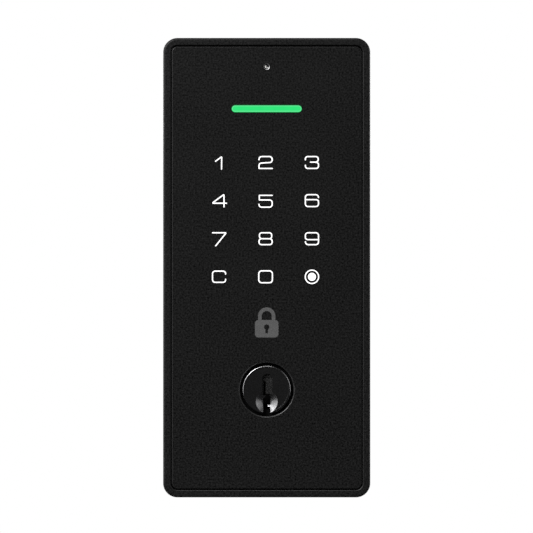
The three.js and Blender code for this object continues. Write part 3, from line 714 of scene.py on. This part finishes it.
# ---- Key cylinder ------------------------------------------------------------------------------

SHOULDER = -1.4  # of the keyway, and foot of the mouth
MOUTH_X = 0.2
MOUTH_HALF = 1.6
MOUTH_TOP = 5.0
MOUTH_DEPTH = 1.1
DISH_Z = -3.8
DISH_RADIUS = 3.4


def keyway_outline():
    """The same outline as the CAD plug's keyway."""
    low = -HEAD_RADIUS - 1
    half = 1.15
    return [(-half, low), (half, low), (half, -5.4), (0.35, -5.4), (0.35, -4.8), (half, -4.8), (half, SHOULDER),
            (-0.35, SHOULDER), (-0.35, 2.5), (-0.95, 2.5), (-0.95, SHOULDER), (-half, SHOULDER), (-half, -1.8),
            (-0.4, -1.8), (-0.4, -2.7), (-half, -2.7)]


def mouth_outline():
    """The recess round the top of the keyway."""
    top = arc(MOUTH_X, MOUTH_TOP - MOUTH_HALF, MOUTH_HALF, 0, 180, 24)
    return [(MOUTH_X - MOUTH_HALF, SHOULDER), (MOUTH_X + MOUTH_HALF, SHOULDER)] + top


def plug():
    """The plug: a turned head with a rounded edge and a fine turned step, cut by keyway, mouth and dish."""
    front = PLUG_LOW.y
    head_back = SHELL_LOW.y - SEAT
    thread = SHELL_HIGH.y + 0.4
    thread_length = 1.6
    edge = 0.42
    angles = [math.radians(t) for t in range(0, 91, 10)]
    step = [(HEAD_RADIUS - 0.84, front + 0.05), (HEAD_RADIUS - 0.78, front + 0.046),
            (HEAD_RADIUS - 0.66, front + 0.006), (HEAD_RADIUS - 0.6, front)]
    rim = [(HEAD_RADIUS - edge + edge * math.sin(t), front + edge * (1 - math.cos(t))) for t in angles]
    profile = step + rim + [
        (HEAD_RADIUS, head_back), (PLUG_RADIUS, head_back), (PLUG_RADIUS, thread), (PLUG_THREAD, thread),
        (PLUG_THREAD, thread + thread_length)]
    piece = mesh_piece("plug_turned", lambda bm: turned(bm, profile, sides=160))
    keyway = mesh_piece("keyway", lambda bm: loft(bm, [
        (keyway_outline(), front - 1), (keyway_outline(), SHELL_HIGH.y - 1)]))
    mouth = mesh_piece("mouth", lambda bm: loft(bm, [
        (mouth_outline(), front - 1), (mouth_outline(), front + MOUTH_DEPTH)]))
    bowl = [(DISH_RADIUS + 1, front - 0.62), (DISH_RADIUS, front + 0.1), (2.6, front + 0.68),
            (1.8, front + 1.26), (1, front + 1.84)]
    dish = mesh_piece("dish", lambda bm: turned(bm, bowl, z=DISH_Z, sides=96))
    chamber_top = 9  # clear of the plug
    chambers = []
    for i in PINS:
        low, high = box_mm(f"key_pin_{i}")
        middle = (low.y + high.y) / 2
        bore = [(PIN_RADIUS + 0.1, low.z - 0.3), (PIN_RADIUS + 0.1, chamber_top)]
        chambers.append(mesh_piece(f"chamber_{i}", lambda bm: turned_upright(bm, bore, middle, 24)))
    carve(piece, keyway, mouth, dish, *chambers)
    soften(piece, 0.07, 2, 38)
    smooth(piece, 40)
    dress(piece, MATERIALS["black_brass"], "plug", replaces=["cylinder_plug"])
    for finish_name in ("cast_brass", "turned_brass"):
        piece.data.materials.append(MATERIALS[finish_name])
    for polygon in piece.data.polygons:
        x, y, z = polygon.center / MM
        in_mouth = abs(x - MOUTH_X) < MOUTH_HALF + 0.02 and SHOULDER - 0.02 < z < MOUTH_TOP + 0.02
        in_dish = math.hypot(x, z - DISH_Z) < DISH_RADIUS + 0.1
        if in_mouth and abs(y - front - MOUTH_DEPTH) < 0.05:
            polygon.material_index = 1
        elif in_dish and -0.95 < polygon.normal.y < -0.6:
            polygon.material_index = 2


def seal():
    """The foam washer round the cylinder, pressed against it."""
    low, high = box_mm("cylinder_seal")
    outer = high.x
    inner = SHELL_RADIUS + 0.005
    piece = mesh_piece("seal_washer", lambda bm: turned(bm, [
        (inner, low.y + 0.06), (inner + 0.06, low.y), (outer - 0.1, low.y), (outer, low.y + 0.1),
        (outer, high.y - 0.1), (outer - 0.1, high.y), (inner, high.y), (inner, low.y + 0.06)]))
    smooth(piece)
    dress(piece, MATERIALS["foam_tape"], replaces=["cylinder_seal"])


def key_and_driver_pins():
    """Turned pins: key pins with a coned tip, drivers with a shallow waist."""
    r = PIN_RADIUS
    for i in PINS:
        low, high = box_mm(f"key_pin_{i}")
        y = (low.y + high.y) / 2
        tip = [(0, low.z), (0.45, low.z), (0.62, low.z + 0.05), (r - 0.02, low.z + 0.55), (r, low.z + 0.7)]
        top = [(r, high.z - 0.2), (r - 0.07, high.z - 0.07), (r - 0.2, high.z), (0, high.z)]
        upright_pin(f"key_pin_turned_{i}", tip + top, y, "raw_brass", f"key_pin_{i}")
        low, high = box_mm(f"driver_pin_{i}")
        end = [(0, low.z), (r - 0.2, low.z), (r - 0.05, low.z + 0.06), (r, low.z + 0.2)]
        waist = [(r, low.z + 1.0), (r - 0.1, low.z + 1.15), (r - 0.1, high.z - 1.15), (r, high.z - 1.0)]
        far = [(r, high.z - 0.2), (r - 0.05, high.z - 0.06), (r - 0.2, high.z), (0, high.z)]
        upright_pin(f"driver_pin_turned_{i}", end + waist + far, y, "nickel_silver", f"driver_pin_{i}")


def upright_pin(name, profile, y, slot, node):
    """A pin turned about z at depth y, from (radius, z) points. Its body has its node's name."""
    piece = mesh_piece(name, lambda bm: turned_upright(bm, profile, y, 40))
    smooth(piece)
    dress(piece, MATERIALS[slot], node, replaces=[node])


def pin_springs():
    """A coil spring over each driver pin."""
    wire = 0.13
    turns = 7
    per_turn = 20
    around = 8
    steps = turns * per_turn
    for i in PINS:
        low, high = box_mm(f"pin_spring_{i}")
        y = (low.y + high.y) / 2

        def make(bm):
            rows = []
            for k in range(steps + 1):
                turn = 2 * math.pi * k / per_turn
                z = low.z + wire + (high.z - low.z - 2 * wire) * k / steps
                out = Vector((math.cos(turn), math.sin(turn), 0))
                centre = Vector((0, y, z)) + out * (PIN_RADIUS - wire)
                ring = [centre + out * wire * math.cos(2 * math.pi * m / around)
                        + Vector((0, 0, wire * math.sin(2 * math.pi * m / around))) for m in range(around)]
                rows.append([bm.verts.new(p * MM) for p in ring])
            stitch(bm, rows)
            cap_ends(bm, rows)

        piece = mesh_piece(f"pin_spring_coil_{i}", make)
        smooth(piece, 60)
        dress(piece, MATERIALS["spring_bronze"], "unit", replaces=[f"pin_spring_{i}"])
        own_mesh(piece)


# ---- Back of the unit --------------------------------------------------------------------------

def gasket():
    """The ribbed foam gasket against the door, stuck to the housing's back, with bays for the screw heads."""
    low, high = box_mm("door_gasket")
    outer = HOUSING_HIGH.x - high.x
    inner = outer + GASKET_WIDTH
    middle = outer + GASKET_WIDTH / 2
    plate = box_mm("back_plate")[1].y
    section = [
        (outer, low.y), (outer, -0.2), (outer + 0.2, 0), (middle - 0.75, 0), (middle - 0.5, -0.3),
        (middle - 0.25, 0), (middle + 0.25, 0), (middle + 0.5, -0.3), (middle + 0.75, 0), (inner - 0.2, 0),
        (inner, -0.2), (inner, low.y), (outer + 1.5, low.y), (outer + 1.5, plate + 0.02),
        (outer + 0.4, plate + 0.02), (outer + 0.4, low.y)]
    rings = [(inset(HOUSING_LOW, HOUSING_HIGH, CORNER, by), y) for by, y in section]
    piece = mesh_piece("gasket_ribbed", lambda bm: loft(bm, rings, closed=True))
    bays = []
    for i in PLATE_SCREWS:
        head_low, head_high = box_mm(f"back_plate_screw_{i}")
        x, z = seen_middle(head_low, head_high)
        radius = (head_high.x - head_low.x) / 2 + HEAD_ROOM
        bay = [(radius, plate - 0.5), (radius, 1)]
        bays.append(mesh_piece("bay", lambda bm: turned(bm, bay, x, z, 40)))
    carve(piece, *bays)
    smooth(piece, 30)
    dress(piece, MATERIALS["foam_tape"], replaces=["door_gasket"])


def mounting_posts():
    """Steel posts: a flange, a plain shank with a chamfered end, and a threaded bore."""
    shank = 3.75
    bore = 2.5
    bore_depth = 14
    pitch = 0.8
    flange_back = box_mm("back_plate")[0].y - SEAT
    for side in ("left", "right"):
        low, high = box_mm(f"mounting_post_{side}")
        x, _ = seen_middle(low, high)
        flange = (high.x - low.x) / 2
        floor_y = high.y - bore_depth
        threads = []
        y = high.y - 0.5
        while y - pitch > floor_y + 0.5:
            threads += [(bore, y), (bore - 0.32, y - pitch / 2)]
            y -= pitch
        profile = [(0, floor_y), (bore, floor_y + 0.3)] + threads[::-1] + [
            (bore + 0.35, high.y), (shank - 0.5, high.y), (shank, high.y - 0.5), (shank, flange_back + 0.3),
            (shank + 0.2, flange_back), (flange - 0.2, flange_back), (flange, flange_back - 0.2),
            (flange, low.y + 0.2), (flange - 0.2, low.y)]
        piece = mesh_piece(f"post_turned_{side}", lambda bm: turned(bm, profile, x, 0, 64))
        smooth(piece)
        dress(piece, MATERIALS["zinc_steel"], replaces=[f"mounting_post_{side}"])


def tailpiece():
    """A flat steel bar on a round base, scored across where it may be broken off to suit the door."""
    base = TAIL_HIGH.x
    half_x = 1.1
    half_z = 3
    bar_front = TAIL_LOW.y + 0.5
    score_pitch = 6

    def bar(narrow):
        return rounded_rect(-half_x + narrow, half_x - narrow, -half_z, half_z, 0.3, 4)

    rings = [(bar(0), bar_front)]
    y = TAIL_HIGH.y - 4 * score_pitch
    while y < TAIL_HIGH.y - 5:
        rings += [(bar(0), y - 0.4), (bar(0.28), y), (bar(0), y + 0.4)]
        y += score_pitch
    rings += [(bar(0), TAIL_HIGH.y - 0.3), (bar(0.3), TAIL_HIGH.y)]

    def make(bm):
        turned(bm, [(base - 0.3, TAIL_LOW.y), (base, TAIL_LOW.y + 0.2), (base, TAIL_LOW.y + 0.8),
                    (base - 0.2, TAIL_LOW.y + 1)])
        loft(bm, rings)

    piece = mesh_piece("tailpiece_bar", make)
    smooth(piece, 30)
    dress(piece, MATERIALS["zinc_steel"], "plug", replaces=["tailpiece"])


def pan_screw(name, node, shank, head, height, slot):
    """A pan-head screw along y with a cross recess in its domed head and a thread on its shank."""
    low, high = box_mm(node)
    x, z = seen_middle(low, high)
    seat = high.y - height
    pitch = 0.75
    thread = []
    y = low.y + 1.0
    while y < seat - 1.0:
        thread += [(shank, y), (shank - 0.22, y + pitch / 2)]
        y += pitch
    dome = [(head, seat + height * 0.35), (head * 0.93, seat + height * 0.68),
            (head * 0.75, seat + height * 0.9), (head * 0.45, high.y)]
    profile = [(0.15, low.y), (shank - 0.25, low.y + 0.7)] + thread + [
        (shank - 0.1, seat - 0.4), (shank - 0.1, seat), (head - 0.05, seat), (head, seat + 0.08)] + dome
    piece = mesh_piece(name, lambda bm: turned(bm, profile, x, z, 40))
    reach = head * 0.5
    half = 0.27
    depth = high.y - height * 0.55

    def cross(bm):
        arms = [(reach, half), (half, reach), (-half, reach), (-reach, half), (-reach, -half), (-half, -reach),
                (half, -reach), (reach, -half)]
        corners = [(half, half), (-half, half), (-half, -half), (half, -half)]
        outline = [arms[0], corners[0], arms[1], arms[2], corners[1], arms[3],
                   arms[4], corners[2], arms[5], arms[6], corners[3], arms[7]]
        loft(bm, [([(x + a * k, z + b * k) for a, b in outline], y)
                  for k, y in ((0.6, depth), (1.0, high.y), (1.0, high.y + 1))])

    carve(piece, mesh_piece("cross", cross))
    smooth(piece)
    dress(piece, MATERIALS[slot], replaces=[node])


def screws():
    """Shank radius, head radius and head height of every screw."""
    for i in PLATE_SCREWS:
        pan_screw(f"plate_screw_{i}", f"back_plate_screw_{i}", 1.35, 2.5, 0.9, "black_steel")
    for i in BOARD_SCREWS:
        pan_screw(f"keypad_screw_{i}", f"board_screw_{i}", 0.95, 1.8, 1.2, "zinc_steel")
    for side in ("left", "right"):
        pan_screw(f"retainer_screw_{side}", f"clip_screw_{side}", 1.2, 2.3, 0.85, "zinc_steel")


def plug_cap():
    """The brass cap screwed on the plug's end, knurled round its edge."""
    low, high = box_mm("plug_cap")
    radius = high.x
    inside = high.y - 1.2
    thread = PLUG_THREAD + SLIDE
    slot = 3.8
    points = 4 * 36  # four to a tooth

    def ring(r, y, cut=0.0):
        cuts = [r - (cut if k % 4 in (0, 1) else 0) for k in range(points)]
        angles = [2 * math.pi * k / points for k in range(points)]
        return [(c * math.cos(a), c * math.sin(a)) for c, a in zip(cuts, angles)], y

    rings = [ring(radius - 0.25, low.y), ring(radius, low.y + 0.25), ring(radius, low.y + 0.4, 0.16),
             ring(radius, high.y - 0.5, 0.16), ring(radius, high.y - 0.35), ring(radius - 0.3, high.y),
             ring(slot + 0.15, high.y), ring(slot, high.y - 0.15), ring(slot, inside), ring(thread, inside),
             ring(thread, low.y)]

    piece = mesh_piece("cap_knurled", lambda bm: loft(bm, rings, closed=True))
    smooth(piece, 30)
    dress(piece, MATERIALS["raw_brass"], "plug", replaces=["plug_cap"])


# ---- The rest of the CAD, with its finishes ----------------------------------------------------

# The cylinder body's face, deep in the ring round the plug, is painted near-black: painted shade, not its
# slot's finish.
PAINTED_SHADE_FINISH = {"cylinder_body": "body_painted_shade"}


def refinish_cad():
    """Every CAD node that is still shown gets its slot's finish and softened edges; the cylinder body gets a
    near-black painted shade in place of its slot's finish.
    """
    for name, node in NODES.items():
        if node.hide_render:
            continue
        for material_slot in node.material_slots:
            material_slot.material = MATERIALS[PAINTED_SHADE_FINISH.get(name, SLOTS[name])]
        bevel = node.modifiers.new("edge", "BEVEL")
        bevel.width = 0.08 * MM
        bevel.segments = 2
        bevel.limit_method = "ANGLE"
        bevel.angle_limit = math.radians(40)
        bevel.harden_normals = True


# ---- Stage -------------------------------------------------------------------------------------

def floor():
    """A plain pale floor under the unit, which fades out into the white surroundings."""
    level = HOUSING_LOW.z - 60
    half = 400
    mesh = bpy.data.meshes.new("floor")
    corners = [(-half, -half), (half, -half), (half, half), (-half, half)]
    mesh.from_pydata([(x * MM, y * MM, level * MM) for x, y in corners], [], [(0, 1, 2, 3)])
    plane = bpy.data.objects.new("floor", mesh)
    bpy.context.scene.collection.objects.link(plane)
    mesh.materials.append(floor_material())
    plane.visible_glossy = False


def floor_material():
    """A matt pale surface that turns clear away from its middle."""
    material, tree, shader = new_material("floor")
    shader.inputs["Base Color"].default_value = (0.86, 0.86, 0.86, 1)
    shader.inputs["Roughness"].default_value = 0.9
    place = tree.nodes.new("ShaderNodeTexCoord")
    length = tree.nodes.new("ShaderNodeVectorMath")
    length.operation = "LENGTH"
    tree.links.new(place.outputs["Object"], length.inputs[0])
    fade = tree.nodes.new("ShaderNodeMapRange")
    fade.interpolation_type = "SMOOTHSTEP"
    fade.inputs["From Min"].default_value = 0.13  # metres from the unit
    fade.inputs["From Max"].default_value = 0.34
    tree.links.new(length.outputs["Value"], fade.inputs["Value"])
    clear = tree.nodes.new("ShaderNodeBsdfTransparent")
    mix = tree.nodes.new("ShaderNodeMixShader")
    tree.links.new(fade.outputs["Result"], mix.inputs["Fac"])
    tree.links.new(shader.outputs["BSDF"], mix.inputs[1])
    tree.links.new(clear.outputs["BSDF"], mix.inputs[2])
    output = next(n for n in tree.nodes if n.type == "OUTPUT_MATERIAL")
    tree.links.new(mix.outputs["Shader"], output.inputs["Surface"])
    return material


def softbox(name, place, width, height, power, aim=(0, 0, 0.035)):
    """A rectangular soft light, turned towards the unit. Metres and watts."""
    data = bpy.data.lights.new(name, "AREA")
    data.shape = "RECTANGLE"
    data.size = width
    data.size_y = height
    data.energy = power
    lamp = bpy.data.objects.new(name, data)
    lamp.location = place
    lamp.rotation_mode = "QUATERNION"
    lamp.rotation_quaternion = (Vector(aim) - Vector(place)).to_track_quat("-Z", "Y")
    bpy.context.scene.collection.objects.link(lamp)
    lamp.visible_camera = False


def studio():
    """Soft lights above, at both sides and behind; white surroundings, seen dim in reflections."""
    softbox("light_front", (-0.85, -1.2, 1.0), 1.0, 0.8, 28)
    softbox("light_left", (-0.9, -0.38, 0.3), 0.6, 1.1, 3.4)
    softbox("light_right", (0.9, -0.38, 0.3), 0.6, 1.1, 1.5)
    softbox("light_top", (0.05, -0.8, 1.1), 0.5, 0.3, 2)
    softbox("light_side_left", (-1.3, 0.2, 0.3), 0.8, 0.8, 8)
    softbox("light_side_right", (1.3, 0.2, 0.3), 0.8, 0.8, 8)
    softbox("light_back_left", (-0.4, 0.95, 0.4), 0.6, 0.6, 5)
    softbox("light_back_right", (0.4, 0.95, 0.4), 0.6, 0.6, 5)
    world = bpy.data.worlds.new("studio")
    bpy.context.scene.world = world
    world.use_nodes = True
    tree = world.node_tree
    tree.nodes.clear()
    output = tree.nodes.new("ShaderNodeOutputWorld")
    seen = tree.nodes.new("ShaderNodeBackground")
    seen.inputs["Color"].default_value = (1, 1, 1, 1)
    lit = tree.nodes.new("ShaderNodeBackground")
    lit.inputs["Color"].default_value = (0.018, 0.018, 0.018, 1)
    mix = tree.nodes.new("ShaderNodeMixShader")
    path = tree.nodes.new("ShaderNodeLightPath")
    tree.links.new(path.outputs["Is Camera Ray"], mix.inputs["Fac"])
    tree.links.new(lit.outputs["Background"], mix.inputs[1])
    tree.links.new(seen.outputs["Background"], mix.inputs[2])
    tree.links.new(mix.outputs["Shader"], output.inputs["Surface"])
    bpy.context.scene.view_settings.view_transform = "Standard"


def camera():
    """Straight on, from far enough to look flat."""
    view_height = 0.16787  # of the picture, at the front face
    lens = 150
    sensor = 36
    data = bpy.data.cameras.new("camera")
    data.lens = lens
    data.sensor_width = sensor
    eye = bpy.data.objects.new("camera", data)
    middle = (HOUSING_LOW.z + HOUSING_HIGH.z) / 2 * MM
    eye.location = (-0.00006, FACE * MM - view_height * lens / sensor, middle + 0.00037)
    eye.rotation_euler = (math.pi / 2, 0, 0)
    bpy.context.scene.collection.objects.link(eye)
    bpy.context.scene.camera = eye


housing()
tube_and_bosses()
panel()
light_bar()
sensor()
key_markings()
lock_symbol()
seal()
plug()
key_and_driver_pins()
pin_springs()
gasket()
mounting_posts()
tailpiece()
screws()
plug_cap()
refinish_cad()
floor()
studio()
camera()
